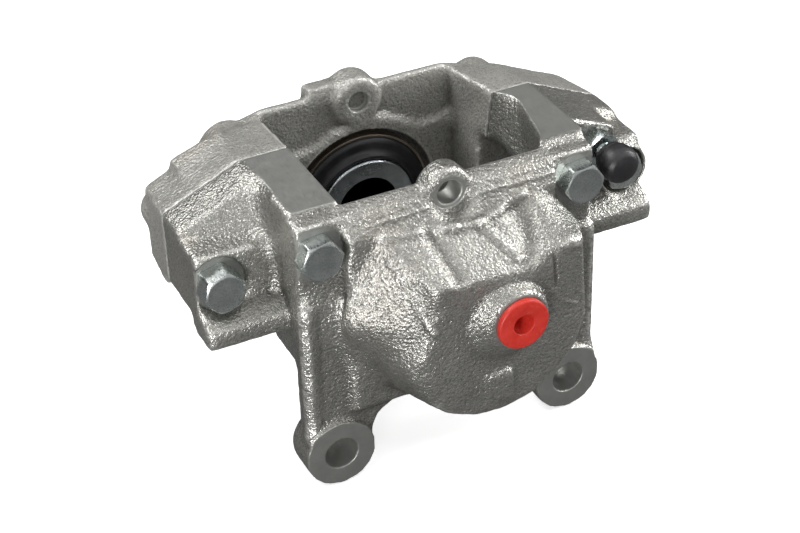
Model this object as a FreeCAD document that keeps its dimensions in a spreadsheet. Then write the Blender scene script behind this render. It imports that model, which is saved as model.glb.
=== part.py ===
"""Fixed two-piston brake caliper: two cast-iron halves bolted together over a brake disc.

Frame: millimetres. X runs along the caliper, +Y points outboard along the piston axis,
+Z points radially out from the hub. The origin is midway between the two mounting
holes, on the machined face of the ears. Each sub-part is drawn about the point where
the piston axis meets the disc's middle plane, or about its own axis, and is then
placed in that frame.
"""
import FreeCAD, Part
import math
import os

import Sketcher

V = FreeCAD.Vector
INBOARD = -1
OUTBOARD = 1
SIDES = (-1, 1)
CUT_REACH = 80.0

# alias, millimetres or degrees, meaning
SIZES = (
    ("piston_dia", 38.0, "piston diameter"),
    ("piston_length", 30.0, "piston length"),
    ("piston_face_y", 27.65, "piston face from the disc's middle plane"),
    ("piston_hollow_dia", 23.7, "hollow in the piston"),
    ("piston_hollow_depth", 24.0, "depth of the piston's hollow"),
    ("bore_gap", 0.05, "radial running clearance of the pistons"),
    ("bore_depth_y", 59.0, "bottom of each cylinder bore"),
    ("wall_y", 32.25, "pad-side wall of each half"),
    ("joint_y", 8.25, "joint plane of the two halves"),
    ("window_half", 38.5, "half width of the pad window"),
    ("block_half", 86.5, "half length of the caliper body"),
    ("plateau_half", 57.0, "outer end of the machined top land"),
    ("plateau_z", 47.0, "height of the machined top land"),
    ("end_top_z", 34.0, "height of the body at its two ends"),
    ("block_bottom_z", 0.5, "underside of the end blocks"),
    ("abutment_z", -14.0, "lower end of the pad abutments"),
    ("disc_clear_radius", 148.0, "radius cleared for the disc"),
    ("disc_centre_z", -115.0, "hub centre below the piston axis"),
    ("disc_slot_half", 13.0, "half width of the disc slot"),
    ("inner_bolt_x", 49.8, "inner bridge bolts from the middle"),
    ("inner_bolt_z", 33.4, "height of the inner bridge bolts"),
    ("inner_seat_y", 38.45, "head seat of the inner bolts"),
    ("outer_bolt_x", 78.5, "outer bridge bolts from the middle"),
    ("outer_bolt_z", 20.5, "height of the outer bridge bolts"),
    ("outer_seat_y", 20.25, "head seat of the outer bolts"),
    ("bolt_dia", 10.0, "bridge bolt shank"),
    ("bolt_hole_dia", 10.6, "clearance hole in the inboard half"),
    ("bolt_tap_dia", 10.1, "tapped hole in the outboard half"),
    ("bolt_across_flats", 14.0, "bridge bolt head across flats"),
    ("bolt_head_height", 6.5, "bridge bolt head height"),
    ("inner_bolt_end_y", 40.0, "tip of the inner bolts"),
    ("outer_bolt_end_y", 31.0, "tip of the outer bolts"),
    ("seat_radius", 10.4, "spotface radius round each bolt head"),
    ("ear_x", 46.2, "mounting holes from the middle"),
    ("ear_z", -49.9, "height of the mounting holes"),
    ("ear_radius", 13.3, "mounting ear boss radius"),
    ("ear_hole_dia", 12.5, "mounting bolt hole"),
    ("ear_face_y", 42.95, "machined face of the ears"),
    ("ear_thickness", 15.0, "thickness of the ears"),
    ("pin_z", 42.2, "height of the pad-pin holes"),
    ("pin_boss_radius", 9.0, "pad-pin boss radius"),
    ("pin_seat_radius", 7.2, "spotface radius round the inboard pad-pin hole"),
    ("pin_hole_dia", 9.0, "inboard pad-pin hole"),
    ("pin_far_hole_dia", 8.0, "outboard pad-pin hole"),
    ("pin_face_y", 38.5, "inboard face of the pad-pin boss"),
    ("recess_radius", 29.8, "recess round the cylinder mouth"),
    ("recess_depth", 6.5, "depth of that recess"),
    ("collar_radius", 24.6, "cylinder collar that the boot grips"),
    ("collar_y", 34.2, "mouth of the cylinder collar"),
    ("seal_y", 40.0, "start of the piston-seal groove"),
    ("seal_width", 3.6, "width of the piston seal"),
    ("seal_outer_radius", 22.0, "outer radius of the piston seal"),
    ("seal_gap", 0.03, "clearance round the piston seal"),
    ("port_x", 11.5, "inlet port from the middle"),
    ("port_z", 3.5, "height of the inlet port"),
    ("port_face_y", 68.0, "face of the inlet port boss"),
    ("port_boss_radius", 12.0, "inlet port boss radius"),
    ("port_dia", 10.0, "inlet port thread"),
    ("plug_flange_dia", 19.6, "transport plug flange"),
    ("plug_hole_dia", 8.0, "hollow of the transport plug"),
    ("bleeder_x", 67.7, "bleeder from the middle"),
    ("bleeder_z", 33.4, "height of the bleeder"),
    ("bleeder_face_y", 21.25, "face of the bleeder boss"),
    ("bleeder_dia", 8.0, "bleeder thread"),
    ("bleeder_across_flats", 11.0, "bleeder hexagon across flats"),
    ("cap_radius", 7.1, "bleeder cap radius"),
    ("crossover_dia", 3.0, "brake-fluid drillings"),
    ("ring_outer_radius", 5.0, "crossover seal ring, outside"),
    ("ring_inner_radius", 2.6, "crossover seal ring, hole"),
    ("ring_width", 1.8, "crossover seal ring width"),
)

doc = FreeCAD.newDocument("brake_caliper")
sheet = doc.addObject("Spreadsheet::Sheet", "dims")
for row, (alias, number, meaning) in enumerate(SIZES, start=1):
    sheet.set(f"A{row}", meaning)
    sheet.set(f"B{row}", str(number))
    sheet.setAlias(f"B{row}", alias)
doc.recompute()


class Size:
    """A length with its value and the sheet expression that gives it."""

    def __init__(self, value, text):
        self.value = value
        self.text = text

    def join(self, sign, other, value):
        return Size(value, f"({self.text} {sign} {text_of(other)})")

    def __add__(self, other):
        return self.join("+", other, self.value + value_of(other))

    def __sub__(self, other):
        return self.join("-", other, self.value - value_of(other))

    def __mul__(self, factor):
        return self.join("*", factor, self.value * value_of(factor))

    def __truediv__(self, factor):
        return self.join("/", factor, self.value / value_of(factor))

    def __neg__(self):
        return self * -1.0


def value_of(number):
    return number.value if isinstance(number, Size) else float(number)


def text_of(number):
    return number.text if isinstance(number, Size) else f"{number:.6g}"


class Dims:
    """Every cell of the sheet as a Size."""


dim = Dims()
for alias, number, meaning in SIZES:
    setattr(dim, alias, Size(number, f"dims.{alias}"))


# ---------------------------------------------------------------- sketch and feature helpers

def origin_plane(body, role):
    return next(item for item in body.Origin.OriginFeatures if item.Role == role)


def bind(obj, prop, number):
    """Set a property, and bind it to the sheet where the number comes from there."""
    if isinstance(number, Size):
        obj.setExpression(prop, number.text)
    else:
        setattr(obj, prop, float(number))


def new_body(name):
    body = doc.addObject("PartDesign::Body", name)
    body.Label = name
    return body


def place(obj, across=0.0, along=0.0, up=0.0):
    """Put a sub-part in the caliper's frame, from a point measured on the piston axis."""
    along = dim.ear_face_y + along
    up = -dim.ear_z + up
    obj.Placement = FreeCAD.Placement(V(value_of(across), along.value, up.value),
                                      FreeCAD.Rotation())
    obj.setExpression("Placement.Base.x", as_size(across).text)
    obj.setExpression("Placement.Base.y", along.text)
    obj.setExpression("Placement.Base.z", up.text)
    return obj


def new_sketch(body, name, role, offset):
    """A sketch parallel to an origin plane, offset along that plane's normal."""
    sketch = body.newObject("Sketcher::SketchObject", name)
    sketch.AttachmentSupport = [(origin_plane(body, role), "")]
    sketch.MapMode = "FlatFace"
    sketch.AttachmentOffset = FreeCAD.Placement(V(0, 0, value_of(offset)), FreeCAD.Rotation())
    if isinstance(offset, Size):
        sketch.setExpression("AttachmentOffset.Base.z", offset.text)
    return sketch


def constrain(sketch, kind, number, *where):
    index = sketch.addConstraint(Sketcher.Constraint(kind, *where, value_of(number)))
    if isinstance(number, Size):
        sketch.setExpression(f"Constraints[{index}]", number.text)


def polygon(sketch, points):
    """A closed outline; every corner is placed from the sketch origin."""
    first = sketch.GeometryCount
    count = len(points)
    corners = [V(value_of(a), value_of(b), 0) for a, b in points]
    for i in range(count):
        sketch.addGeometry(Part.LineSegment(corners[i], corners[(i + 1) % count]))
    for i in range(count):
        following = first + (i + 1) % count
        sketch.addConstraint(Sketcher.Constraint("Coincident", first + i, 2, following, 1))
    for i, (across, up) in enumerate(points):
        constrain(sketch, "DistanceX", across, -1, 1, first + i, 1)
        constrain(sketch, "DistanceY", up, -1, 1, first + i, 1)


def circle(sketch, across, up, radius):
    centre = V(value_of(across), value_of(up), 0)
    index = sketch.addGeometry(Part.Circle(centre, V(0, 0, 1), value_of(radius)))
    constrain(sketch, "Radius", radius, index)
    constrain(sketch, "DistanceX", across, -1, 1, index, 3)
    constrain(sketch, "DistanceY", up, -1, 1, index, 3)


def draw(sketch, outline):
    """An outline is a list of corners, or a (centre x, centre y, radius) circle."""
    if isinstance(outline, tuple):
        circle(sketch, *outline)
    else:
        polygon(sketch, outline)


def ordered(a, b):
    return (a, b) if value_of(a) <= value_of(b) else (b, a)


def grow_y(body, name, outline, y_a, y_b):
    """Add an X-Z outline between two Y planes."""
    low, high = ordered(y_a, y_b)
    sketch = new_sketch(body, name + "_outline", "XZ_Plane", -as_size(high))
    draw(sketch, outline)
    pad = body.newObject("PartDesign::Pad", name)
    pad.Profile = sketch
    bind(pad, "Length", as_size(high) - low)
    return pad


def grow_x(body, name, outline, x_a, x_b):
    """Add a Y-Z outline between two X planes."""
    low, high = ordered(x_a, x_b)
    sketch = new_sketch(body, name + "_outline", "YZ_Plane", low)
    draw(sketch, outline)
    pad = body.newObject("PartDesign::Pad", name)
    pad.Profile = sketch
    bind(pad, "Length", as_size(high) - low)
    return pad


def cut_y(body, name, outline, y_a, y_b):
    """Remove an X-Z outline between two Y planes."""
    low, high = ordered(y_a, y_b)
    sketch = new_sketch(body, name + "_outline", "XZ_Plane", -as_size(low))
    draw(sketch, outline)
    pocket = body.newObject("PartDesign::Pocket", name)
    pocket.Profile = sketch
    bind(pocket, "Length", as_size(high) - low)
    return pocket


def as_size(number):
    return number if isinstance(number, Size) else Size(float(number), f"{float(number):.6g}")


def loft(body, name, near, y_near, far, y_far):
    """Add a ruled solid between two X-Z outlines with matching corners."""
    first = new_sketch(body, name + "_near", "XZ_Plane", -as_size(y_near))
    polygon(first, near)
    second = new_sketch(body, name + "_far", "XZ_Plane", -as_size(y_far))
    polygon(second, far)
    feature = body.newObject("PartDesign::AdditiveLoft", name)
    feature.Profile = first
    feature.Sections = [second]
    feature.Ruled = True
    return feature


def loft_x(body, name, near, x_near, far, x_far):
    """Add a ruled solid between two Y-Z outlines with matching corners."""
    first = new_sketch(body, name + "_near", "YZ_Plane", x_near)
    polygon(first, near)
    second = new_sketch(body, name + "_far", "YZ_Plane", x_far)
    polygon(second, far)
    feature = body.newObject("PartDesign::AdditiveLoft", name)
    feature.Profile = first
    feature.Sections = [second]
    feature.Ruled = True
    return feature


def turn(body, name, profile, kind="PartDesign::Revolution"):
    """Revolve an (x, y) profile about the sketch's own Y axis."""
    sketch = new_sketch(body, name + "_profile", "XY_Plane", 0.0)
    polygon(sketch, profile)
    feature = body.newObject(kind, name)
    feature.Profile = sketch
    feature.ReferenceAxis = (sketch, ["V_Axis"])
    feature.Angle = 360.0
    return feature


def drill(body, name, start, finish, radius):
    """A straight drilling between two points."""
    axis = V(*finish) - V(*start)
    hole = body.newObject("PartDesign::SubtractiveCylinder", name)
    bind(hole, "Radius", radius)
    hole.Height = axis.Length
    hole.Placement = FreeCAD.Placement(V(*start), FreeCAD.Rotation(V(0, 0, 1), axis))
    return hole


def arc_points(across, up, radius, start, finish, count=9):
    """Corners along a round stretch of an outline, from one angle to another."""
    angles = [math.radians(start + (finish - start) * i / (count - 1)) for i in range(count)]
    return [(across + radius * math.cos(a), up + radius * math.sin(a)) for a in angles]


def hexagon(across_flats):
    """Corners of a hexagon round the sketch origin, from a Size across flats."""
    corner = across_flats / math.sqrt(3.0)
    angles = [math.radians(60.0 * i + 30.0) for i in range(6)]
    return [(corner * math.cos(a), corner * math.sin(a)) for a in angles]


def mirrored(points, side):
    return [(as_size(a) * side, b) for a, b in points]


# ---------------------------------------------------------------- the two cast halves

BOSS_DRAFT = 3.0
ROOF_Y = 22.25
RIM_Y = 25.5
ROOF_Z = 32.5
SADDLE_Y = 6.75
SHELF_Y = 31.75
LEG_FRONT_Y = 40.5
LEG_BACK_Y = 27.0
BODY_BASE_Y = 43.25
BODY_END_Y = 62.75
PORT_FLARE_Y = 67.4
FAR_ARM_Y = 32.75
FAR_BODY_Y = 43.0
FAR_END_Y = 62.0
RELIEF_Y = 35.0
BLEEDER_BOTTOM_Y = 10.0
DRILLING_END = (16.0, 56.0, 10.0)


def block_outline(side):
    """End block seen along Y: window edge, top land, sloping shoulder, end wall."""
    points = [
        (dim.window_half, dim.plateau_z),
        (dim.plateau_half, dim.plateau_z),
        (dim.block_half, dim.end_top_z),
        (dim.block_half, dim.block_bottom_z),
        (dim.plateau_half, dim.block_bottom_z),
        (dim.plateau_half, dim.abutment_z),
        (dim.window_half, dim.abutment_z),
    ]
    return mirrored(points, side)


def column_outline(side, front_z):
    """The stiff column beside the pad window."""
    points = [
        (dim.window_half, front_z),
        (dim.plateau_half, front_z),
        (dim.plateau_half, dim.abutment_z),
        (dim.window_half, dim.abutment_z),
    ]
    return mirrored(points, side)


def add_disc_slot(body, out):
    """The gap the disc turns in, cut from the underside of the bridge."""
    slot = (0.0, dim.disc_centre_z, dim.disc_clear_radius)
    return cut_y(body, "disc_slot", slot, dim.joint_y, dim.disc_slot_half * out)


def add_cylinder_mouth(body, out):
    """Recess, boot collar, bore and seal groove of one cylinder."""
    wall = dim.wall_y * out
    recess_floor = (dim.wall_y + dim.recess_depth) * out
    cut_y(body, "mouth_recess", (0.0, 0.0, dim.recess_radius), wall, recess_floor)
    grow_y(body, "boot_collar", (0.0, 0.0, dim.collar_radius), dim.collar_y * out, recess_floor)
    bore_radius = dim.piston_dia / 2 + dim.bore_gap
    cut_y(body, "bore", (0.0, 0.0, bore_radius), wall, dim.bore_depth_y * out)
    groove_radius = dim.seal_outer_radius + dim.seal_gap
    groove_start = (dim.seal_y - dim.seal_gap) * out
    groove_end = (dim.seal_y + dim.seal_width + dim.seal_gap) * out
    cut_y(body, "seal_groove", (0.0, 0.0, groove_radius), groove_start, groove_end)


def add_bore_drilling(body, out):
    """The slanted drilling between the crossover and the far end of the bore."""
    start = (dim.bleeder_x.value, BLEEDER_BOTTOM_Y * out, dim.bleeder_z.value)
    finish = (DRILLING_END[0], DRILLING_END[1] * out, DRILLING_END[2])
    drill(body, "bore_drilling", start, finish, dim.crossover_dia / 2)


def add_bolt_holes(body, radius, reach):
    """Through holes for the four bridge bolts, from the joint plane outwards."""
    for number, side in enumerate(SIDES):
        inner = (dim.inner_bolt_x * side, dim.inner_bolt_z, radius)
        outer = (dim.outer_bolt_x * side, dim.outer_bolt_z, radius)
        cut_y(body, f"inner_bolt_hole_{number}", inner, dim.joint_y, reach)
        cut_y(body, f"outer_bolt_hole_{number}", outer, dim.joint_y, reach)


def build_inboard_housing():
    """The half with the mounting ears, the inlet port and the bleeder."""
    body = new_body("inboard_housing")
    out = INBOARD
    for number, side in enumerate(SIDES):
        grow_y(body, f"bridge_{number}", block_outline(side), dim.joint_y, -SADDLE_Y)
        roof = mirrored([
            (dim.plateau_half - 2.0, ROOF_Z),
            (dim.block_half, ROOF_Z),
            (dim.block_half, dim.block_bottom_z),
            (dim.plateau_half - 2.0, dim.block_bottom_z),
        ], side)
        grow_y(body, f"roof_{number}", roof, -SADDLE_Y, -ROOF_Y)
        x_in = (dim.plateau_half - 2.0) * side
        x_out = (dim.block_half - 4.0) * side
        inner_wedge = [(-SADDLE_Y, 46.5), (-20.0, ROOF_Z), (-SADDLE_Y, ROOF_Z - 4.0)]
        outer_wedge = [(-SADDLE_Y, 35.5), (-9.0, ROOF_Z), (-SADDLE_Y, ROOF_Z - 4.0)]
        loft_x(body, f"saddle_{number}", inner_wedge, x_in, outer_wedge, x_out)
        shelf = [(-ROOF_Y + 4.0, 12.0), (-26.0, 11.5), (-SHELF_Y, 8.0),
                 (-SHELF_Y, dim.block_bottom_z), (-ROOF_Y + 4.0, dim.block_bottom_z)]
        grow_x(body, f"shelf_{number}", shelf, x_in, (dim.block_half + 0.8) * side)
        column = column_outline(side, dim.plateau_z)
        grow_y(body, f"column_{number}", column, -SADDLE_Y, -dim.wall_y)
        shoulder = column_outline(side, 44.5)
        grow_y(body, f"shoulder_{number}", shoulder, -dim.wall_y, -dim.inner_seat_y)
        leg = [(57.5, 14.0), (57.5, -46.0), (50.0, -60.0), (36.0, -54.0), (30.0, -40.0),
               (14.0, -30.0), (14.0, 14.0)]
        grow_y(body, f"leg_{number}", mirrored(leg, side), -LEG_BACK_Y - 5.25, -LEG_FRONT_Y)
        ear = (dim.ear_x * side, dim.ear_z, dim.ear_radius)
        ear_back = dim.ear_thickness - dim.ear_face_y
        grow_y(body, f"ear_{number}", ear, -dim.ear_face_y, ear_back)
    wall = [(-dim.wall_y, 46.0), (-dim.inner_seat_y, 43.5), (-BODY_BASE_Y, 36.5),
            (-BODY_BASE_Y, -34.0), (-dim.wall_y, -34.0)]
    grow_x(body, "pad_wall", wall, -dim.window_half - 2.0, dim.window_half + 2.0)
    base = [(-29.0, 36.5), (27.5, 36.0), (30.0, 36.0), (46.0, 28.0)]
    base += arc_points(5.0, -1.0, 40.0, -10.0, -160.0)
    base += [(-50.0, 5.0)]
    end = [(-17.5, 22.5), (17.5, 19.0), (24.0, 25.0), (38.5, 26.0)]
    end += arc_points(6.0, -1.5, 35.5, -10.0, -160.0)
    end += [(-17.5, 6.5)]
    loft(body, "cylinder_body", base, -BODY_BASE_Y, end, -BODY_END_Y)
    port_boss = (dim.port_x, dim.port_z, dim.port_boss_radius)
    grow_y(body, "port_boss", port_boss, -BODY_END_Y + BOSS_DRAFT, -dim.port_face_y)
    flare_top = arc_points(11.5, 3.5, 11.3, 0.0, 345.0, 24)
    flare_foot = arc_points(7.0, 1.5, 15.5, 0.0, 345.0, 24)
    loft(body, "port_flare", flare_top, -PORT_FLARE_Y, flare_foot, -BODY_END_Y + 1.0)
    pin_boss = (0.0, dim.pin_z, dim.pin_boss_radius)
    grow_y(body, "pin_boss", pin_boss, -dim.wall_y + BOSS_DRAFT, -dim.pin_face_y)
    bleeder_land = [(dim.plateau_half - 2.0, dim.plateau_z), (dim.plateau_half, dim.plateau_z),
                    (dim.bleeder_x + 8.0, 38.8), (dim.bleeder_x + 8.0, 24.0),
                    (dim.plateau_half - 2.0, 24.0)]
    grow_y(body, "bleeder_land", bleeder_land, -SADDLE_Y, -dim.bleeder_face_y - 1.5)
    add_disc_slot(body, out)
    add_cylinder_mouth(body, out)
    add_bolt_holes(body, dim.bolt_hole_dia / 2, -CUT_REACH)
    for number, side in enumerate(SIDES):
        inner_seat = (dim.inner_bolt_x * side, dim.inner_bolt_z, dim.seat_radius)
        cut_y(body, f"inner_seat_{number}", inner_seat, -dim.inner_seat_y, -CUT_REACH)
        outer_seat = (dim.outer_bolt_x * side, dim.outer_bolt_z, dim.seat_radius)
        cut_y(body, f"outer_seat_{number}", outer_seat, -dim.outer_seat_y, -CUT_REACH)
        ear_hole = (dim.ear_x * side, dim.ear_z, dim.ear_hole_dia / 2)
        cut_y(body, f"ear_hole_{number}", ear_hole, -LEG_BACK_Y, -CUT_REACH)
    rim = (dim.outer_bolt_x, dim.outer_bolt_z, dim.seat_radius - 0.3)
    grow_y(body, "bolt_rim", rim, -dim.outer_seat_y, -RIM_Y)
    sunk_seat = (dim.outer_bolt_x, dim.outer_bolt_z, dim.seat_radius - 1.5)
    cut_y(body, "sunk_seat", sunk_seat, -dim.outer_seat_y, -CUT_REACH)
    pin_seat = (0.0, dim.pin_z, dim.pin_seat_radius)
    cut_y(body, "pin_seat", pin_seat, -dim.pin_face_y, -CUT_REACH)
    pin_hole = (0.0, dim.pin_z, dim.pin_hole_dia / 2)
    cut_y(body, "pin_hole", pin_hole, -LEG_BACK_Y, -CUT_REACH)
    port = (dim.port_x, dim.port_z, dim.port_dia / 2)
    cut_y(body, "inlet_port", port, -dim.bore_depth_y + 1.0, -CUT_REACH)
    bleeder_seat = (dim.bleeder_x, dim.bleeder_z, 7.4)
    cut_y(body, "bleeder_seat", bleeder_seat, -dim.bleeder_face_y, -CUT_REACH)
    bleeder_hole = (dim.bleeder_x, dim.bleeder_z, dim.bleeder_dia / 2 + dim.bore_gap)
    cut_y(body, "bleeder_hole", bleeder_hole, -BLEEDER_BOTTOM_Y, -CUT_REACH)
    crossover = (dim.bleeder_x, dim.bleeder_z, dim.crossover_dia / 2)
    cut_y(body, "crossover", crossover, -BLEEDER_BOTTOM_Y - 1.0, dim.joint_y)
    add_bore_drilling(body, out)
    return place(body)


def build_outboard_housing():
    """The plain half, tapped for the bridge bolts."""
    body = new_body("outboard_housing")
    out = OUTBOARD
    for number, side in enumerate(SIDES):
        far_block = mirrored([(dim.window_half, 45.5), (55.0, 44.5), (84.5, 31.5), (84.5, 2.0),
                              (dim.plateau_half - 1.0, 2.0), (dim.plateau_half - 1.0, dim.abutment_z),
                              (dim.window_half, dim.abutment_z)], side)
        loft(body, f"bridge_{number}", block_outline(side), dim.joint_y, far_block, FAR_ARM_Y)
        inner_boss = (dim.inner_bolt_x * side, dim.inner_bolt_z - 1.0, 11.0)
        grow_y(body, f"inner_boss_{number}", inner_boss, FAR_ARM_Y - BOSS_DRAFT, FAR_BODY_Y)
        outer_boss = ((dim.outer_bolt_x - 1.0) * side, dim.outer_bolt_z, 8.5)
        grow_y(body, f"outer_boss_{number}", outer_boss, FAR_ARM_Y - BOSS_DRAFT, FAR_ARM_Y + 3.5)
    base = [(-41.0, 45.5), (41.0, 45.5), (55.0, 40.0), (55.0, -4.0), (36.0, -30.0),
            (12.0, -36.0), (-12.0, -36.0), (-36.0, -30.0), (-55.0, -4.0), (-55.0, 40.0)]
    grow_y(body, "pad_wall", base, dim.wall_y, FAR_BODY_Y - BOSS_DRAFT)
    root = [(-34.0, 45.0), (34.0, 45.0), (44.0, 30.0), (44.0, -8.0), (32.0, -28.0),
            (12.0, -34.0), (-12.0, -34.0), (-32.0, -28.0), (-44.0, -8.0), (-44.0, 30.0)]
    end = [(-12.0, 25.0), (12.0, 25.0), (23.0, 16.0), (27.0, 0.0), (22.0, -18.0),
           (9.0, -27.0), (-9.0, -27.0), (-22.0, -18.0), (-27.0, 0.0), (-23.0, 16.0)]
    loft(body, "cylinder_body", root, FAR_BODY_Y - BOSS_DRAFT, end, FAR_END_Y)
    relief = [(-dim.window_half, 26.5), (-29.0, 26.7), (-19.5, 27.4), (-10.5, 32.0), (10.0, 34.3),
              (19.3, 29.5), (26.0, 26.4), (33.0, 26.9), (dim.window_half, 28.2),
              (dim.window_half, 60.0), (-dim.window_half, 60.0)]
    cut_y(body, "wall_relief", relief, dim.wall_y, RELIEF_Y)
    pin_boss = (0.0, dim.pin_z, dim.pin_boss_radius + 0.7)
    grow_y(body, "pin_boss", pin_boss, dim.wall_y, FAR_BODY_Y + 1.0)
    add_disc_slot(body, out)
    add_cylinder_mouth(body, out)
    add_bolt_holes(body, dim.bolt_tap_dia / 2, dim.joint_y + 1.0)
    for number, side in enumerate(SIDES):
        inner = (dim.inner_bolt_x * side, dim.inner_bolt_z, dim.bolt_tap_dia / 2)
        outer = (dim.outer_bolt_x * side, dim.outer_bolt_z, dim.bolt_tap_dia / 2)
        cut_y(body, f"inner_thread_{number}", inner, dim.joint_y, dim.inner_bolt_end_y + 1.0)
        cut_y(body, f"outer_thread_{number}", outer, dim.joint_y, dim.outer_bolt_end_y + 1.0)
    pin_hole = (0.0, dim.pin_z, dim.pin_far_hole_dia / 2)
    cut_y(body, "pin_hole", pin_hole, dim.wall_y - 1.0, CUT_REACH)
    ring_seat = (dim.bleeder_x, dim.bleeder_z, dim.ring_outer_radius + dim.seal_gap)
    cut_y(body, "ring_seat", ring_seat, dim.joint_y, dim.joint_y + dim.ring_width + dim.seal_gap * 2)
    crossover = (dim.bleeder_x, dim.bleeder_z, dim.crossover_dia / 2)
    cut_y(body, "crossover", crossover, dim.joint_y, BLEEDER_BOTTOM_Y + 4.0)
    add_bore_drilling(body, out)
    return place(body)


# ---------------------------------------------------------------- fasteners

HEAD_CHAMFER = 1.0
THREAD_CHAMFER = 1.0


def build_bolt_pair(name, bolt_x, bolt_z, seat_y, end_y):
    """Two identical hexagon bolts, mirrored about the middle of the caliper."""
    bolt = new_body(name + "_right")
    grow_y(bolt, "head", hexagon(dim.bolt_across_flats), 0.0, -dim.bolt_head_height)
    shank = [(0.0, -1.0), (dim.bolt_dia / 2, -1.0), (dim.bolt_dia / 2, end_y + seat_y - THREAD_CHAMFER),
             (dim.bolt_dia / 2 - THREAD_CHAMFER, end_y + seat_y), (0.0, end_y + seat_y)]
    turn(bolt, "shank", shank)
    flat = dim.bolt_across_flats / 2
    chamfer = [(flat - 0.4, -dim.bolt_head_height - 1.0), (flat + 3.0, -dim.bolt_head_height - 1.0),
               (flat + 3.0, -dim.bolt_head_height + 1.6), (flat - 0.4, -dim.bolt_head_height)]
    turn(bolt, "head_chamfer", chamfer, "PartDesign::Groove")
    place(bolt, bolt_x, -seat_y, bolt_z)
    twin = doc.addObject("Part::Mirroring", name + "_left")
    twin.Source = bolt
    twin.Normal = V(1, 0, 0)
    pair = doc.addObject("Part::Compound", name)
    pair.Links = [bolt, twin]
    pair.Label = name
    return pair


# ---------------------------------------------------------------- pistons, seals and boots

def build_piston(name, out):
    """A hollow cup with its open end towards the pad."""
    body = new_body(name)
    radius = dim.piston_dia / 2
    hollow = dim.piston_hollow_dia / 2
    face = dim.piston_face_y * out
    back = (dim.piston_face_y + dim.piston_length) * out
    floor = (dim.piston_face_y + dim.piston_hollow_depth) * out
    turn(body, "cup", [(hollow, face), (radius - 0.8, face), (radius, (dim.piston_face_y + 0.8) * out),
                       (radius, back), (0.0, back), (0.0, floor), (hollow, floor)])
    return place(body)


def build_piston_seal(name, out):
    """Square-section ring that seals the piston and pulls it back."""
    body = new_body(name)
    bore = dim.piston_dia / 2 + dim.seal_gap
    start = dim.seal_y * out
    end = (dim.seal_y + dim.seal_width) * out
    turn(body, "ring", [(bore, start), (dim.seal_outer_radius, start), (dim.seal_outer_radius, end),
                        (bore, end)])
    return place(body)


def build_dust_boot(name, out):
    """Rubber gaiter from the cylinder collar to the nose of the piston."""
    body = new_body(name)
    bore = dim.piston_dia / 2 + dim.bore_gap
    grip = dim.collar_radius + dim.bore_gap
    outline = [(bore, 28.9), (20.6, 28.9), (21.4, 30.6), (22.6, 31.2), (25.0, 31.4), (26.3, 32.4),
               (26.3, 38.2), (grip, 38.2), (grip, 34.1), (21.8, 34.1), (20.6, 32.8), (20.2, 31.4),
               (bore, 31.4)]
    turn(body, "gaiter", [(radius, along * out) for radius, along in outline])
    return place(body)


def build_clamp_ring(name, out):
    """Thin spring ring that holds the boot on its collar."""
    body = new_body(name)
    turn(body, "band", [(26.36, 32.7 * out), (27.3, 32.7 * out), (27.3, 37.4 * out),
                        (26.36, 37.4 * out)])
    return place(body)


# ---------------------------------------------------------------- hydraulic fittings

HEX_HEIGHT = 6.5
NIPPLE_LENGTH = 11.0
CAP_START = 3.65
CAP_LENGTH = 11.5
CAP_LIP_RADIUS = 6.0
CAP_LIP_LENGTH = 2.0
CAP_SWELL_LENGTH = 3.4


def build_crossover_seal():
    """Ring that seals the fluid drilling where the halves meet."""
    body = new_body("crossover_seal")
    turn(body, "ring", [(dim.ring_inner_radius, 0.0), (dim.ring_outer_radius, 0.0),
                        (dim.ring_outer_radius, dim.ring_width), (dim.ring_inner_radius, dim.ring_width)])
    return place(body, dim.bleeder_x, dim.joint_y + dim.seal_gap, dim.bleeder_z)


def build_bleeder_screw():
    """Hollow screw with a hexagon and a hose nipple."""
    body = new_body("bleeder_screw")
    grow_y(body, "hexagon", hexagon(dim.bleeder_across_flats), -0.1, -HEX_HEIGHT)
    thread = dim.bleeder_dia / 2
    stem = [(1.0, -HEX_HEIGHT - NIPPLE_LENGTH), (2.6, -HEX_HEIGHT - NIPPLE_LENGTH),
            (3.6, -HEX_HEIGHT - 8.6), (3.6, -HEX_HEIGHT - 7.6), (2.9, -HEX_HEIGHT - 6.8),
            (2.9, -HEX_HEIGHT - 2.0), (3.4, -HEX_HEIGHT + 0.5), (thread, -HEX_HEIGHT + 0.5),
            (thread, 8.0), (1.4, 11.0), (1.0, 11.0)]
    turn(body, "stem", stem)
    return place(body, dim.bleeder_x, -dim.bleeder_face_y, dim.bleeder_z)


def build_bleeder_cap():
    """Rubber dust cap over the bleeder's nipple."""
    body = new_body("bleeder_cap")
    start = -HEX_HEIGHT - CAP_START
    end = start - CAP_LENGTH
    radius = dim.cap_radius
    middle = end + radius.value
    dome = [(radius, middle)]
    dome += [(radius * math.cos(math.radians(a)), middle - radius.value * math.sin(math.radians(a)))
             for a in (15, 30, 45, 60, 75)]
    outline = [(3.7, start), (CAP_LIP_RADIUS, start), (CAP_LIP_RADIUS, start - CAP_LIP_LENGTH),
               (radius, start - CAP_SWELL_LENGTH), *dome, (0.0, end), (0.0, end + 3.2), (3.7, end + 3.2)]
    turn(body, "cap", outline)
    return place(body, dim.bleeder_x, -dim.bleeder_face_y, dim.bleeder_z)


def build_port_plug():
    """Plastic transport plug pushed into the inlet port."""
    body = new_body("port_plug")
    flange = dim.plug_flange_dia / 2
    stem = dim.port_dia / 2 - dim.bore_gap
    hollow = dim.plug_hole_dia / 2
    turn(body, "plug", [(hollow, -2.4), (flange - 0.5, -2.4), (flange, -1.9), (flange, -0.05),
                        (stem, -0.05), (stem, 7.5), (0.0, 7.5), (0.0, 5.0), (hollow, 5.0)])
    return place(body, dim.port_x, -dim.port_face_y, dim.port_z)


# ---------------------------------------------------------------- build, check and write

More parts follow.
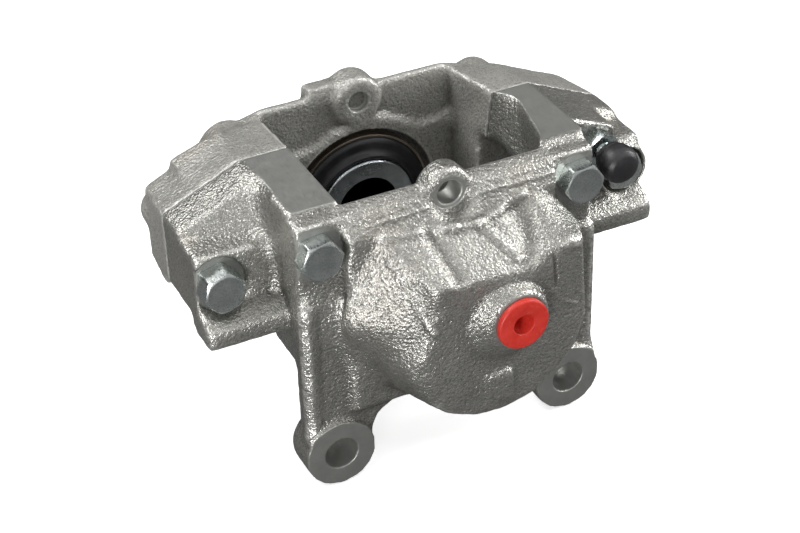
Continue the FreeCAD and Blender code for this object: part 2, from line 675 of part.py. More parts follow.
parts = [
    build_inboard_housing(),
    build_outboard_housing(),
    build_bolt_pair("inner_bridge_bolts", dim.inner_bolt_x, dim.inner_bolt_z, dim.inner_seat_y,
                    dim.inner_bolt_end_y),
    build_bolt_pair("outer_bridge_bolts", dim.outer_bolt_x, dim.outer_bolt_z, dim.outer_seat_y,
                    dim.outer_bolt_end_y),
    build_piston("inboard_piston", INBOARD),
    build_piston("outboard_piston", OUTBOARD),
    build_piston_seal("inboard_piston_seal", INBOARD),
    build_piston_seal("outboard_piston_seal", OUTBOARD),
    build_dust_boot("inboard_dust_boot", INBOARD),
    build_dust_boot("outboard_dust_boot", OUTBOARD),
    build_clamp_ring("inboard_boot_clamp_ring", INBOARD),
    build_clamp_ring("outboard_boot_clamp_ring", OUTBOARD),
    build_crossover_seal(),
    build_bleeder_screw(),
    build_bleeder_cap(),
    build_port_plug(),
]
doc.recompute()

for item in doc.Objects:
    if "Invalid" in item.State or "Error" in item.State:
        raise RuntimeError(f"{item.Name} did not recompute: {item.State}")
for part in parts:
    if part.Shape.isNull() or not part.Shape.isValid():
        raise RuntimeError(f"{part.Label} has no valid shape")

os.makedirs("parts", exist_ok=True)
for part in parts:
    part.Shape.exportStep(f"parts/{part.Label}.step")
    print(part.Label, len(part.Shape.Solids), round(part.Shape.Volume / 1000.0, 2), "cm3")
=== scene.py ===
"""Looks for the fixed brake caliper: cast skin, machined faces, plated bolts and rubber."""

import math

import bmesh
import bpy
import numpy as np
from mathutils import Matrix, Vector


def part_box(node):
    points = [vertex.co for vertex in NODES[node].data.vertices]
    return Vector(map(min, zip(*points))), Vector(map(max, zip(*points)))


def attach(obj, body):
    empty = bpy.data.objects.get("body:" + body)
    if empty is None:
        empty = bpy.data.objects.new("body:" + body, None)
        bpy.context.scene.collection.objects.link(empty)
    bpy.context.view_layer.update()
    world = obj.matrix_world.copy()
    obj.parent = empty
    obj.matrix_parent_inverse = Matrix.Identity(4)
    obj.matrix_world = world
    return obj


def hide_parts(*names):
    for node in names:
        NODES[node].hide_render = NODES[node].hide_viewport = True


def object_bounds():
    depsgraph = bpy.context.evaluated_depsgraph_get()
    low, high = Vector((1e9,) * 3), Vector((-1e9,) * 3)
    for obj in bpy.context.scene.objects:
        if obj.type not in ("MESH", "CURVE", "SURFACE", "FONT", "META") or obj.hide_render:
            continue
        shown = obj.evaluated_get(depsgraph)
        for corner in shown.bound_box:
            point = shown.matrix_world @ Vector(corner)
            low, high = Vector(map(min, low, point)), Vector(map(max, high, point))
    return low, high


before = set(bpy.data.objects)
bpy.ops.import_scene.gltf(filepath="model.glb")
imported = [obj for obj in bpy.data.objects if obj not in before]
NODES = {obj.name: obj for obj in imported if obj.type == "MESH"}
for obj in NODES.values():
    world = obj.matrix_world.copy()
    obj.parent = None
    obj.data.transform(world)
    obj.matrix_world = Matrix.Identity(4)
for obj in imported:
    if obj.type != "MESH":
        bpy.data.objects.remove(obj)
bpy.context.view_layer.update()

MM = 0.001
PISTON_LOW, PISTON_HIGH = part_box("inboard_piston")
FAR_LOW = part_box("outboard_piston")[0]
# the point where the piston axis meets the disc's middle plane
CENTRE = np.array([0.0, (PISTON_HIGH.y + FAR_LOW.y) / 2, (PISTON_LOW.z + PISTON_HIGH.z) / 2])

# Sizes in millimetres about that point: X along the caliper, Y towards the outboard half, Z up.
JOINT_FACE = 8.25          # Y of the joint between the halves
WINDOW_WALL = 38.5         # X of the window's side walls
ROOF = 47.0                # Z of the flats on top of the bridges
MOUTH_FACE = 32.25         # Y of the face round each cylinder's mouth
BOOT_RECESS = 29.8         # radii of the cylinder's steps, from the mouth inwards
CLAMP_STEP = 24.6
BORE = 19.05
BORE_BOTTOM = 59.0         # Y of the cylinder's closed end
BOTTOM_FLAT = 19.3         # radius of that end
PIN_AXIS = 42.2            # Z of the pad pin holes
PIN_FACE = 38.5            # Y of the inboard pin boss
PIN_NEAR, PIN_FAR = 4.5, 4.0  # radii of the pin holes
PORT_X, PORT_Z = 11.5, 3.5
PORT_FACE, PORT_RADIUS = 68.0, 5.0
EAR_X, EAR_Z = 46.2, -49.9
EAR_FACE, EAR_BOSS, EAR_HOLE = 42.95, 13.4, 6.25
INNER_X, INNER_Z, INNER_SEAT = 49.8, 33.4, 38.45
OUTER_X, OUTER_Z, OUTER_SEAT = 78.5, 20.5, 20.25
SPOTFACE = 10.2            # radius of the bolt seats
BOLT_SHANK, BOLT_FLATS = 5.0, 14.0


def row(point):
    """From millimetres about the piston axis to the row frame."""
    return Vector(CENTRE + np.array(point, float) * MM)


# ---------------------------------------------------------------- node materials

class Mat:
    """Short wrapper for building a node material."""

    def __init__(self, name):
        self.material = bpy.data.materials.new(name)
        self.material.use_nodes = True
        self.tree = self.material.node_tree
        self.tree.nodes.clear()
        self.out = self.add("ShaderNodeOutputMaterial")
        self.shader = self.add("ShaderNodeBsdfPrincipled")
        self.link(self.shader.outputs["BSDF"], self.out.inputs["Surface"])
        self.coords = self.add("ShaderNodeTexCoord").outputs["Object"]

    def add(self, kind, **props):
        node = self.tree.nodes.new(kind)
        for key, value in props.items():
            setattr(node, key, value)
        return node

    def link(self, a, b):
        self.tree.links.new(a, b)

    def feed(self, socket, value):
        if isinstance(value, bpy.types.NodeSocket):
            self.link(value, socket)
        else:
            socket.default_value = value

    def noise(self, scale, detail=3.0, rough=0.5, coords=None):
        node = self.add("ShaderNodeTexNoise")
        self.link(coords or self.coords, node.inputs["Vector"])
        node.inputs["Scale"].default_value = scale
        node.inputs["Detail"].default_value = detail
        node.inputs["Roughness"].default_value = rough
        return node.outputs["Fac"]

    def cells(self, scale, feature):
        node = self.add("ShaderNodeTexVoronoi", feature=feature)
        self.link(self.coords, node.inputs["Vector"])
        node.inputs["Scale"].default_value = scale
        return node.outputs["Distance"]

    def stretch(self, scale):
        node = self.add("ShaderNodeMapping")
        self.link(self.coords, node.inputs["Vector"])
        node.inputs["Scale"].default_value = scale
        return node.outputs["Vector"]

    def ramp(self, value, *stops):
        node = self.add("ShaderNodeValToRGB")
        self.link(value, node.inputs["Fac"])
        ramp = node.color_ramp
        while len(ramp.elements) < len(stops):
            ramp.elements.new(0.5)
        for element, (place, colour) in zip(ramp.elements, stops):
            element.position = place
            element.color = (*colour, 1.0)
        return node.outputs["Color"]

    def span(self, value, low, high, to_low=0.0, to_high=1.0):
        node = self.add("ShaderNodeMapRange")
        self.feed(node.inputs["Value"], value)
        limits = {"From Min": low, "From Max": high, "To Min": to_low, "To Max": to_high}
        for socket, number in limits.items():
            node.inputs[socket].default_value = number
        return node.outputs["Result"]

    def maths(self, operation, a, b=0.0):
        node = self.add("ShaderNodeMath", operation=operation)
        self.feed(node.inputs[0], a)
        self.feed(node.inputs[1], b)
        return node.outputs[0]

    def mix(self, factor, a, b):
        node = self.add("ShaderNodeMix", data_type="RGBA")
        self.feed(node.inputs[0], factor)
        for socket, value in ((node.inputs[6], a), (node.inputs[7], b)):
            self.feed(socket, value if isinstance(value, bpy.types.NodeSocket) else (*value, 1.0))
        return node.outputs[2]

    def mix_value(self, factor, a, b):
        node = self.add("ShaderNodeMix", data_type="FLOAT")
        self.feed(node.inputs[0], factor)
        self.feed(node.inputs[2], a)
        self.feed(node.inputs[3], b)
        return node.outputs[0]

    def attribute(self, name):
        return self.add("ShaderNodeAttribute", attribute_name=name).outputs["Fac"]

    def bump(self, height, strength, distance):
        node = self.add("ShaderNodeBump")
        node.inputs["Strength"].default_value = strength
        node.inputs["Distance"].default_value = distance
        self.link(height, node.inputs["Height"])
        return node.outputs["Normal"]

    def set(self, **values):
        for key, value in values.items():
            socket = self.shader.inputs[key.replace("_", " ")]
            if isinstance(value, tuple) and socket.type == "RGBA":
                value = (*value, 1.0)
            self.feed(socket, value)
        return self.material


def cast_iron(name, metallic):
    """Shot-blasted casting skin that turns into milled metal where the mesh says so, with painted shade in
    its hollows and in the troughs of its grain, and painted highlights along its crests.
    """
    m = Mat(name)
    milled = m.attribute("milled")
    painted_hollow_shade = m.attribute("cavity")
    crest_mask = m.attribute("crest")
    coarse = m.noise(900.0, 2.0, 0.6)
    fine = m.noise(2200.0, 2.0, 0.6)
    grain = m.cells(1050.0, "SMOOTH_F1")
    height = m.maths("ADD", coarse, m.maths("MULTIPLY", fine, 0.4))
    height = m.maths("ADD", height, m.maths("MULTIPLY", grain, 0.8))
    tone = m.noise(45.0, 3.0, 0.6)
    skin = m.ramp(tone, (0.3, (0.38, 0.375, 0.35)), (0.7, (0.50, 0.49, 0.455)))
    # painted shade: the skin darkens where the coarse bump is low, in the troughs of the grain
    skin = m.mix(m.span(coarse, 0.36, 0.50), m.mix(0.35, skin, (0.09, 0.09, 0.082)), skin)
    # painted shade: the skin darkens towards near black in the mesh's hollows
    skin = m.mix(m.maths("MULTIPLY", painted_hollow_shade, 0.6), skin, (0.08, 0.076, 0.068))
    warm = m.noise(24.0, 2.0, 0.5)
    skin = m.mix(m.span(warm, 0.55, 0.75, 0.0, 0.4), skin, (0.40, 0.355, 0.30))
    # painted highlight: near-white glints broken up along the mesh's raised edges
    edge = m.maths("MULTIPLY", crest_mask, m.span(m.noise(420.0, 3.0, 0.6), 0.36, 0.56, 0.1, 0.95))
    skin = m.mix(edge, skin, (0.86, 0.85, 0.80))
    scratch = m.noise(1.0, 3.0, 0.6, coords=m.stretch((2600.0, 240.0, 2600.0)))
    flat = m.ramp(m.noise(160.0, 3.0, 0.6), (0.3, (0.33, 0.335, 0.315)), (0.7, (0.42, 0.425, 0.40)))
    flat = m.mix(m.span(scratch, 0.35, 0.65, 0.0, 0.4), flat, (0.50, 0.50, 0.48))
    colour = m.mix(milled, skin, flat)
    rough_skin = m.span(fine, 0.3, 0.7, 0.24, 0.36)
    rough_flat = m.span(scratch, 0.3, 0.7, 0.40, 0.54)
    normal_skin = m.bump(height, 1.0, 0.00038)
    normal_flat = m.bump(m.maths("ADD", scratch, m.maths("MULTIPLY", fine, 0.4)), 0.35, 0.00006)
    blend = m.add("ShaderNodeMix", data_type="VECTOR")
    m.feed(blend.inputs[0], milled)
    m.link(normal_skin, blend.inputs[4])
    m.link(normal_flat, blend.inputs[5])
    return m.set(Base_Color=colour, Metallic=metallic,
                 Roughness=m.mix_value(milled, rough_skin, rough_flat), Normal=blend.outputs[1])


def plated(name, low, high, tint, rough=0.24):
    """Zinc-plated steel: cloudy plating, a faint tint and fine tool marks."""
    m = Mat(name)
    cloud = m.noise(140.0, 4.0, 0.6)
    marks = m.noise(1.0, 2.0, 0.5, coords=m.stretch((1800.0, 500.0, 1800.0)))
    base = m.mix(m.span(cloud, 0.3, 0.7), low, high)
    base = m.mix(m.span(m.noise(60.0, 2.0), 0.45, 0.7, 0.0, 0.6), base, tint)
    spots = m.span(m.noise(900.0, 2.0), 0.68, 0.8)
    base = m.mix(m.maths("MULTIPLY", spots, 0.5), base, (0.2, 0.2, 0.2))
    normal = m.bump(m.maths("ADD", cloud, m.maths("MULTIPLY", marks, 0.5)), 0.25, 0.00012)
    return m.set(Base_Color=base, Metallic=1.0, Roughness=m.span(marks, 0.3, 0.7, rough, rough + 0.16),
                 Normal=normal)


RINGS_PER_METRE = 17000.0
HOLLOW_SHADE_EDGE = (0.01215, 0.01195)  # radii between which painted shade turns the steel near black inside a piston's hollow


def turned_steel(name, colour, rough):
    """Ground steel with fine rings left by turning, with painted shade making it near black inside a
    piston's hollow.
    """
    m = Mat(name)
    split = m.add("ShaderNodeSeparateXYZ")
    shift = m.add("ShaderNodeMapping")
    m.link(m.coords, shift.inputs["Vector"])
    shift.inputs["Location"].default_value = (0.0, 0.0, -CENTRE[2])
    m.link(shift.outputs["Vector"], split.inputs[0])
    square = m.maths("ADD", m.maths("MULTIPLY", split.outputs[0], split.outputs[0]),
                     m.maths("MULTIPLY", split.outputs[2], split.outputs[2]))
    radius = m.maths("SQRT", square)
    rings = m.maths("SINE", m.maths("MULTIPLY", radius, RINGS_PER_METRE))
    cloud = m.noise(120.0, 4.0, 0.6)
    darker = tuple(c * 0.72 for c in colour)
    base = m.mix(m.span(cloud, 0.3, 0.7), darker, colour)
    # painted shade: near black inside the piston's hollow
    base = m.mix(m.span(radius, *HOLLOW_SHADE_EDGE), base, (0.012, 0.012, 0.012))
    height = m.maths("ADD", m.maths("MULTIPLY", rings, 0.35), m.noise(800.0, 3.0))
    return m.set(Base_Color=base, Metallic=1.0, Roughness=m.span(cloud, 0.3, 0.7, rough, rough + 0.12),
                 Normal=m.bump(height, 0.3, 0.00005))


def rubber(name, colour, rough):
    """Moulded rubber with a little dust on it."""
    m = Mat(name)
    dust = m.noise(90.0, 5.0, 0.65)
    grain = m.noise(1400.0, 2.0)
    light = tuple(min(1.0, c * 2.2 + 0.012) for c in colour)
    base = m.mix(m.span(dust, 0.45, 0.8), colour, light)
    normal = m.bump(m.maths("ADD", dust, m.maths("MULTIPLY", grain, 0.6)), 0.35, 0.00015)
    return m.set(Base_Color=base, Roughness=m.span(dust, 0.3, 0.7, rough, rough + 0.18), Normal=normal)


def red_plastic():
    """Slightly cloudy moulded plastic."""
    m = Mat("red_moulded_plastic")
    cloud = m.noise(180.0, 4.0, 0.6)
    fine = m.noise(1300.0, 2.0)
    base = m.mix(m.span(cloud, 0.35, 0.7), (0.60, 0.028, 0.018), (0.72, 0.050, 0.034))
    base = m.mix(m.span(fine, 0.62, 0.75, 0.0, 0.35), base, (0.85, 0.20, 0.13))
    return m.set(Base_Color=base, Roughness=m.span(cloud, 0.3, 0.7, 0.38, 0.52),
                 Subsurface_Weight=0.06, Subsurface_Radius=(0.002, 0.0006, 0.0004), Subsurface_Scale=0.8,
                 Normal=m.bump(m.maths("ADD", cloud, fine), 0.3, 0.00012))


# the far half is the same iron with a lower metallic so its diffuse share reads brighter: a lit copy
# standing in for light bounced into the window
IRON = {"inboard_casting": cast_iron("cast_iron_near", 0.78),
        "outboard_casting": cast_iron("cast_iron_far", 0.35)}
ZINC = plated("zinc_plate", (0.52, 0.56, 0.55), (0.74, 0.77, 0.76), (0.54, 0.62, 0.60))
BRIGHT_ZINC = plated("bright_zinc_plate", (0.55, 0.62, 0.62), (0.75, 0.80, 0.80), (0.50, 0.64, 0.62), 0.18)
STEEL = turned_steel("piston_steel", (0.62, 0.67, 0.70), 0.22)
SPRING = turned_steel("spring_steel", (0.50, 0.43, 0.35), 0.32)
BOOT = rubber("boot_rubber", (0.012, 0.012, 0.014), 0.36)
CAP = rubber("cap_rubber", (0.020, 0.019, 0.021), 0.34)
SEAL = rubber("seal_rubber", (0.010, 0.010, 0.010), 0.5)
PLASTIC = red_plastic()


def dress(obj, material):
    obj.data.materials.clear()
    obj.data.materials.append(material)
    return obj


# ---------------------------------------------------------------- mesh arrays

def new_object(name, verts, faces):
    mesh = bpy.data.meshes.new(name)
    mesh.from_pydata([tuple(v) for v in verts], [], faces)
    mesh.update()
    obj = bpy.data.objects.new(name, mesh)
    bpy.context.scene.collection.objects.link(obj)
    return obj


def get_co(mesh):
    co = np.empty(len(mesh.vertices) * 3, np.float32)
    mesh.vertices.foreach_get("co", co)
    return co.reshape(-1, 3).astype(float)


def set_co(mesh, co):
    mesh.vertices.foreach_set("co", co.astype(np.float32).ravel())
    mesh.update()


def get_normals(mesh):
    no = np.empty(len(mesh.vertices) * 3, np.float32)
    mesh.vertex_normals.foreach_get("vector", no)
    return no.reshape(-1, 3).astype(float)


def get_edges(mesh):
    edges = np.empty(len(mesh.edges) * 2, np.int32)
    mesh.edges.foreach_get("vertices", edges)
    return edges.reshape(-1, 2)


def relax(co, edges, steps, share, weight):
    """Laplacian smoothing, by a share per step, weighted per vertex."""
    count = len(co)
    a, b = edges[:, 0], edges[:, 1]
    degree = np.maximum(np.bincount(a, minlength=count) + np.bincount(b, minlength=count), 1)
    for _ in range(steps):
        total = np.empty_like(co)
        for axis in range(3):
            total[:, axis] = (np.bincount(a, weights=co[b, axis], minlength=count)
                              + np.bincount(b, weights=co[a, axis], minlength=count))
        co = co + (total / degree[:, None] - co) * (share * weight)[:, None]
    return co


def lattice(seed):
    return np.random.default_rng(seed).uniform(-1.0, 1.0, (32, 32, 32))


def value_noise(points, cell, seed):
    """Smooth seeded noise over points in millimetres, with features about a cell wide."""
    grid = lattice(seed)
    q = points / cell
    base = np.floor(q).astype(int)
    t = q - base
    t = t * t * (3.0 - 2.0 * t)
    total = np.zeros(len(points))
    for i in (0, 1):
        for j in (0, 1):
            for k in (0, 1):
                weight = ((t[:, 0] if i else 1 - t[:, 0]) * (t[:, 1] if j else 1 - t[:, 1])
                          * (t[:, 2] if k else 1 - t[:, 2]))
                corner = (base + (i, j, k)) % 32
                total += weight * grid[corner[:, 0], corner[:, 1], corner[:, 2]]
    return total


def smoothstep(low, high, value):
    t = np.clip((value - low) / (high - low), 0.0, 1.0)
    return t * t * (3.0 - 2.0 * t)


def near_segment(points, a, b):
    """Distance of each point from the line between a and b."""
    a, b = np.array(a, float), np.array(b, float)
    along = b - a
    t = np.clip((points - a) @ along / max(along @ along, 1e-9), 0.0, 1.0)
    return np.linalg.norm(points - a - t[:, None] * along, axis=1)


# ---------------------------------------------------------------- the two castings

FINE_VOXEL = 0.62
VOXEL = FINE_VOXEL
SNAP_FLAT, SNAP_ROUND = 0.75, 0.9  # how far a vertex may be from a machined face it belongs to


def fine_steps(count):
    """Smoothing steps that give a coarser mesh the same rounding as the fine one."""
    return max(4, int(round(count * (FINE_VOXEL / VOXEL) ** 2)))


def hull_object(name, groups):
    """One object holding a convex hull for each group of points."""
    bm = bmesh.new()
    for points in groups:
        verts = [bm.verts.new(row(p)) for p in points]
        found = bmesh.ops.convex_hull(bm, input=verts)
        loose = [v for v in found["geom_interior"] if isinstance(v, bmesh.types.BMVert)]
        bmesh.ops.delete(bm, geom=loose, context="VERTS")
    bmesh.ops.recalc_face_normals(bm, faces=bm.faces)
    mesh = bpy.data.meshes.new(name)
    bm.to_mesh(mesh)
    bm.free()
    obj = bpy.data.objects.new(name, mesh)
    bpy.context.scene.collection.objects.link(obj)
    return obj


def evaluated_mesh(obj):
    graph = bpy.context.evaluated_depsgraph_get()
    return bpy.data.meshes.new_from_object(obj.evaluated_get(graph))


def casting(name, node, cuts, extras, planes, rounds, soft, strokes, seed):
    """Remeshes a cast half finely, rounds its cast edges, and keeps its machined faces true.

    cuts and extras: groups of corners, each a convex block taken off or added.
    planes: (axis, value, test) faces cut flat. rounds: (x, z, radius, y low, y high) bores.
    soft: (start, end, reach, steps) edges rounded far more than the rest.
    strokes: (start, end, reach, height) raised or sunk lines in the casting.
    """
    bm = bmesh.new()
    bm.from_mesh(NODES[node].data)
    bmesh.ops.remove_doubles(bm, verts=bm.verts, dist=1e-6)
    mesh = bpy.data.meshes.new(name + "_coarse")
    bm.to_mesh(mesh)
    bm.free()
    coarse = bpy.data.objects.new(name + "_coarse", mesh)
    bpy.context.scene.collection.objects.link(coarse)
    for number, points in enumerate(cuts):
        tool = hull_object(f"cut_{number}", [points])
        cut = coarse.modifiers.new("cut", "BOOLEAN")
        cut.operation = "DIFFERENCE"
        cut.solver = "EXACT"
        cut.object = tool
        coarse.data = evaluated_mesh(coarse)
        coarse.modifiers.clear()
        bpy.data.objects.remove(tool)
    bm = bmesh.new()
    bm.from_mesh(coarse.data)
    if extras:
        blocks = hull_object("blocks", extras)
        bm.from_mesh(blocks.data)
        bpy.data.objects.remove(blocks)
    bm.to_mesh(coarse.data)
    bm.free()
    remesh = coarse.modifiers.new("skin", "REMESH")
    remesh.mode = "VOXEL"
    remesh.voxel_size = VOXEL * MM
    remesh.adaptivity = 0.0
    skin = evaluated_mesh(coarse)
    bpy.data.objects.remove(coarse)
    skin.name = name
    obj = bpy.data.objects.new(name, skin)
    bpy.context.scene.collection.objects.link(obj)

    points = (get_co(skin) - CENTRE) / MM
    normals = get_normals(skin)
    edges = get_edges(skin)
    milled = np.zeros(len(points))
    for axis, value, test in planes:
        hit = (np.abs(points[:, axis] - value) < SNAP_FLAT) & (np.abs(normals[:, axis]) > 0.8)
        hit &= test(points[:, 0], points[:, 1], points[:, 2])
        milled[hit] = 1.0
        points[hit, axis] = value
    for x, z, radius, low, high in rounds:
        across, up = points[:, 0] - x, points[:, 2] - z
        away = np.hypot(across, up)
        hit = (np.abs(away - radius) < SNAP_ROUND) & (points[:, 1] > low) & (points[:, 1] < high)
        hit &= np.abs(normals[:, 1]) < 0.75
        scale = np.where(hit, radius / np.maximum(away, 1e-6), 1.0)
        points[:, 0] = x + across * scale
        points[:, 2] = z + up * scale
        milled[hit] = 1.0
    whole = np.ones(len(points))
    spread = relax(np.repeat(milled[:, None], 3, axis=1), edges, 2, 0.6, whole)[:, 0]
    free = 1.0 - np.maximum(milled, smoothstep(0.25, 0.6, spread))
    smooth = relax(points, edges, fine_steps(26), 0.55, free)
    for start, end, reach, count in soft:
        away = near_segment(smooth, start, end)
        weight = free * (1.0 - smoothstep(0.35 * reach, reach, away))
        near = weight > 0.0
        keep = near[edges].any(axis=1)
        smooth = relax(smooth, edges[keep], fine_steps(count), 0.6, weight)
    for start, end, reach, height in strokes:
        away = near_segment(smooth, start, end)
        lift = height * (1.0 - smoothstep(0.0, reach, away)) * free
        smooth = smooth + normals * lift[:, None]
    # how far each vertex sinks under more smoothing shows its hollows and its raised edges
    sunk = relax(smooth, edges, 12, 0.6, whole)
    bend = ((sunk - smooth) * normals).sum(axis=1)
    # hollows: the casting material paints shade there
    cavity = np.clip(bend * 5.0, 0.0, 1.0) * free
    # raised edges: the casting material paints a highlight there
    crest = np.clip((-bend - 0.09) * 7.0, 0.0, 1.0) * free
    wave = value_noise(smooth, 6.0, seed) * 0.12 + value_noise(smooth, 2.6, seed + 1) * 0.08
    wave += value_noise(smooth, 1.4, seed + 2) * 0.06
    smooth = smooth + normals * (wave * free)[:, None]
    set_co(skin, CENTRE + smooth * MM)
    for label, data in (("milled", spread), ("cavity", cavity), ("crest", crest)):
        layer = skin.attributes.new(label, "FLOAT", "POINT")
        layer.data.foreach_set("value", data.astype(np.float32))
    skin.polygons.foreach_set("use_smooth", np.ones(len(skin.polygons), bool))
    dress(obj, IRON[name])
    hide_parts(node)
    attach(obj, "caliper")


def disc_points(x, z, radius, y):
    """Corners of a round boss's end, about an axis along Y."""
    turn = [2 * math.pi * i / 20 for i in range(20)]
    return [(x + radius * math.cos(a), y, z + radius * math.sin(a)) for a in turn]


def funnel(outline, bottom):
    """A wedge that flares the window's right wall: widest above the roof, none at the bottom."""
    wall, flare, above = 38.4, 1.13, 50.0
    top = [(wall + (x - wall) * flare, y, above) for x, y in outline]
    return top + [(min(x, wall), y, bottom) for x, y in outline]


# tests of which vertices may belong to a machined face

def everywhere(x, y, z):
    return np.ones(len(x), bool)


def inside(cx, cz, radius):
    return lambda x, y, z: np.hypot(x - cx, z - cz) < radius


def box_test(x_low, x_high, y_low, y_high, z_low=-99.0, z_high=99.0):
    return lambda x, y, z: ((x > x_low) & (x < x_high) & (y > y_low) & (y < y_high)
                            & (z > z_low) & (z < z_high))


def cylinder_faces(out):
    """Machined faces of one cylinder, flat and round; out is -1 inboard and 1 outboard."""
    planes = [(1, JOINT_FACE, everywhere), (1, BORE_BOTTOM * out, inside(0.0, 0.0, BOTTOM_FLAT))]
    rounds = []
    for radius, near, far in ((BOOT_RECESS, 32.5, 38.0), (CLAMP_STEP, 34.4, 38.0), (BORE, 34.4, 59.5)):
        low, high = sorted((near * out, far * out))
        rounds.append((0.0, 0.0, radius, low, high))
    return planes, rounds


def build_inboard():
    planes, rounds = cylinder_faces(-1)
    planes += [
        (1, -PORT_FACE, inside(PORT_X, PORT_Z, 10.4)),
        (1, -PIN_FACE, inside(0.0, PIN_AXIS, 6.2)),
        (2, ROOF, box_test(-55.0, -38.0, -36.0, 8.2)),
        (2, ROOF, box_test(38.0, 57.0, -30.0, 8.2)),
        (0, -WINDOW_WALL, box_test(-40.0, -37.0, -32.0, 8.0, 0.0)),
        (1, -MOUTH_FACE, box_test(-38.0, 38.0, -33.0, -31.0))]
    rounds += [(0.0, PIN_AXIS, PIN_NEAR, -38.3, -29.5), (PORT_X, PORT_Z, PORT_RADIUS, -67.8, -59.0)]
    for side in (-1, 1):
        planes += [(1, -EAR_FACE, inside(EAR_X * side, EAR_Z, EAR_BOSS)),
                   (1, -INNER_SEAT, inside(INNER_X * side, INNER_Z, SPOTFACE)),
                   (1, -OUTER_SEAT, inside(OUTER_X * side, OUTER_Z, SPOTFACE))]
        rounds += [(EAR_X * side, EAR_Z, EAR_HOLE, -42.8, -28.2)]
    flare = funnel([(37.0, 8.3), (41.6, 8.3), (47.0, 0.65), (41.4, -26.75), (39.6, -30.0), (37.0, -31.5)],
                   24.0)
    # the raised step under the port, deeper at its right end
    step = [(-3.0, -62.4, -18.8), (10.9, -62.4, -18.8), (10.9, -62.4, -31.9), (-3.0, -62.4, -31.9),
            (4.0, -64.6, -18.9), (10.9, -65.0, -18.9), (10.9, -64.4, -31.9)]
    valleys = [((-11.6, -46.5, 34.0), (-8.0, -60.7, 23.8), 4.6, -1.3),
               ((22.0, -48.0, 33.0), (24.0, -60.0, 26.0), 7.5, -1.8)]
    flanks = [((33.0, -47.0, 34.0), (35.0, -62.0, 27.0), 6.0, 1.0),
              ((-26.8, -47.8, 28.6), (-18.7, -62.3, 5.8), 2.6, 1.0),
              ((-21.0, -52.0, 27.0), (-17.0, -60.0, 13.0), 4.5, -0.8)]
    marks = [((27.1, -62.8, 21.7), (28.2, -62.8, 9.5), 1.2, -0.5),
             ((32.4, -62.8, 2.1), (36.6, -62.8, -0.1), 1.2, 0.4)]
    ledge = [((-28.0, -43.7, 36.2), (-2.5, -46.6, 33.8), 3.0, 0.8),
             ((-2.5, -46.6, 33.8), (7.0, -47.3, 33.1), 2.8, 0.8),
             ((7.0, -47.3, 33.1), (25.8, -43.3, 36.6), 2.8, 0.8),
             ((7.0, -47.3, 33.1), (16.0, -58.6, 22.9), 3.2, 0.75),
             ((16.0, -59.2, 22.9), (23.0, -62.4, 24.4), 2.4, 0.5)]
    rim = [((-30.0, -40.6, 39.6), (-9.5, -40.6, 40.4), 1.4, 0.35),
           ((9.5, -40.6, 40.4), (40.0, -40.6, 39.8), 1.4, 0.35)]
    strokes = valleys + flanks + marks + ledge + rim
    strokes += [((56.0 * side, -40.5, 12.0), (56.6 * side, -40.5, -40.0), 5.5, 1.3) for side in (-1, 1)]
    flank = [((-47.0, -43.0, 6.0), (-28.0, -58.0, -15.0), 10.0, 160),
             ((-50.0, -40.0, 20.0), (-47.0, -42.0, 6.0), 8.0, 120),
             ((-47.0, -41.0, 5.0), (-31.0, -41.0, -20.0), 8.0, 120),
             ((-26.0, -62.0, -13.0), (-22.0, -62.0, -19.0), 9.0, 120)]
    bridge = [((-57.0, -7.0, 47.0), (-58.0, -24.0, 30.0), 8.0, 220),
              ((-57.5, -22.0, 30.0), (-57.5, -22.0, 12.0), 4.0, 60)]
    bosses = [((PORT_X, -66.0, PORT_Z), (PORT_X, -PORT_FACE, PORT_Z), 15.0, 50),
              ((0.0, -38.0, PIN_AXIS), (0.0, -38.6, PIN_AXIS), 10.5, 40)]
    window = [((45.5, 4.0, ROOF), (40.0, 2.0, 26.0), 8.0, 160),
              ((WINDOW_WALL, 8.0, 26.0), (WINDOW_WALL, -28.0, 26.0), 7.0, 120)]
    legs = [((57.5 * side, -39.0, 16.0), (57.5 * side, -39.0, -42.0), 5.0, 60) for side in (-1, 1)]
    casting("inboard_casting", "inboard_housing", [flare], [step], planes, rounds,
            flank + bridge + bosses + window + legs, strokes, seed=11)


def build_outboard():
    planes, rounds = cylinder_faces(1)
    planes.append((0, -WINDOW_WALL, box_test(-40.0, -37.0, 9.0, 32.0, 0.0)))
    rounds.append((0.0, PIN_AXIS, PIN_FAR, 32.5, 44.0))
    roof_section = ((35.3, 38.0), (35.3, 47.0), (38.5, 46.6), (41.0, 43.0), (41.0, 36.0))
    roof = [(x, y, z) for x in (-38.0, 38.0) for y, z in roof_section]
    lump_section = ((36.0, 38.0), (36.0, 50.2), (45.0, 38.0), (45.0, 48.6))
    pin_lump = [(x, y, z) for x in (-18.0, -6.0) for y, z in lump_section]
    shoulder_section = ((-73.8, 38.9), (-54.0, 45.8), (-73.8, 28.0), (-54.0, 28.0))
    shoulder = [(x, y, z) for x, z in shoulder_section for y in (12.0, 34.0)]
    bosses = [disc_points(INNER_X * side, 33.9, 11.0, 30.0) + disc_points(INNER_X * side, 33.9, 10.0, 43.0)
              for side in (-1, 1)]
    flare = funnel([(37.0, 8.2), (41.6, 8.2), (38.7, 31.65), (37.0, 31.65)], 24.0)
    soft = [((WINDOW_WALL, 9.0, 26.0), (WINDOW_WALL, 31.0, 26.0), 6.0, 90)]
    turn = np.linspace(0.0, 2 * math.pi, 13)
    back_edge = [(27.0 * math.cos(a), 60.0, 26.0 * math.sin(a) - 4.0) for a in turn]
    soft += [(a, b, 13.0, 90) for a, b in zip(back_edge, back_edge[1:])]
    casting("outboard_casting", "outboard_housing", [flare], [roof, pin_lump, shoulder, *bosses],
            planes, rounds, soft, [], seed=31)


# ---------------------------------------------------------------- turned pieces

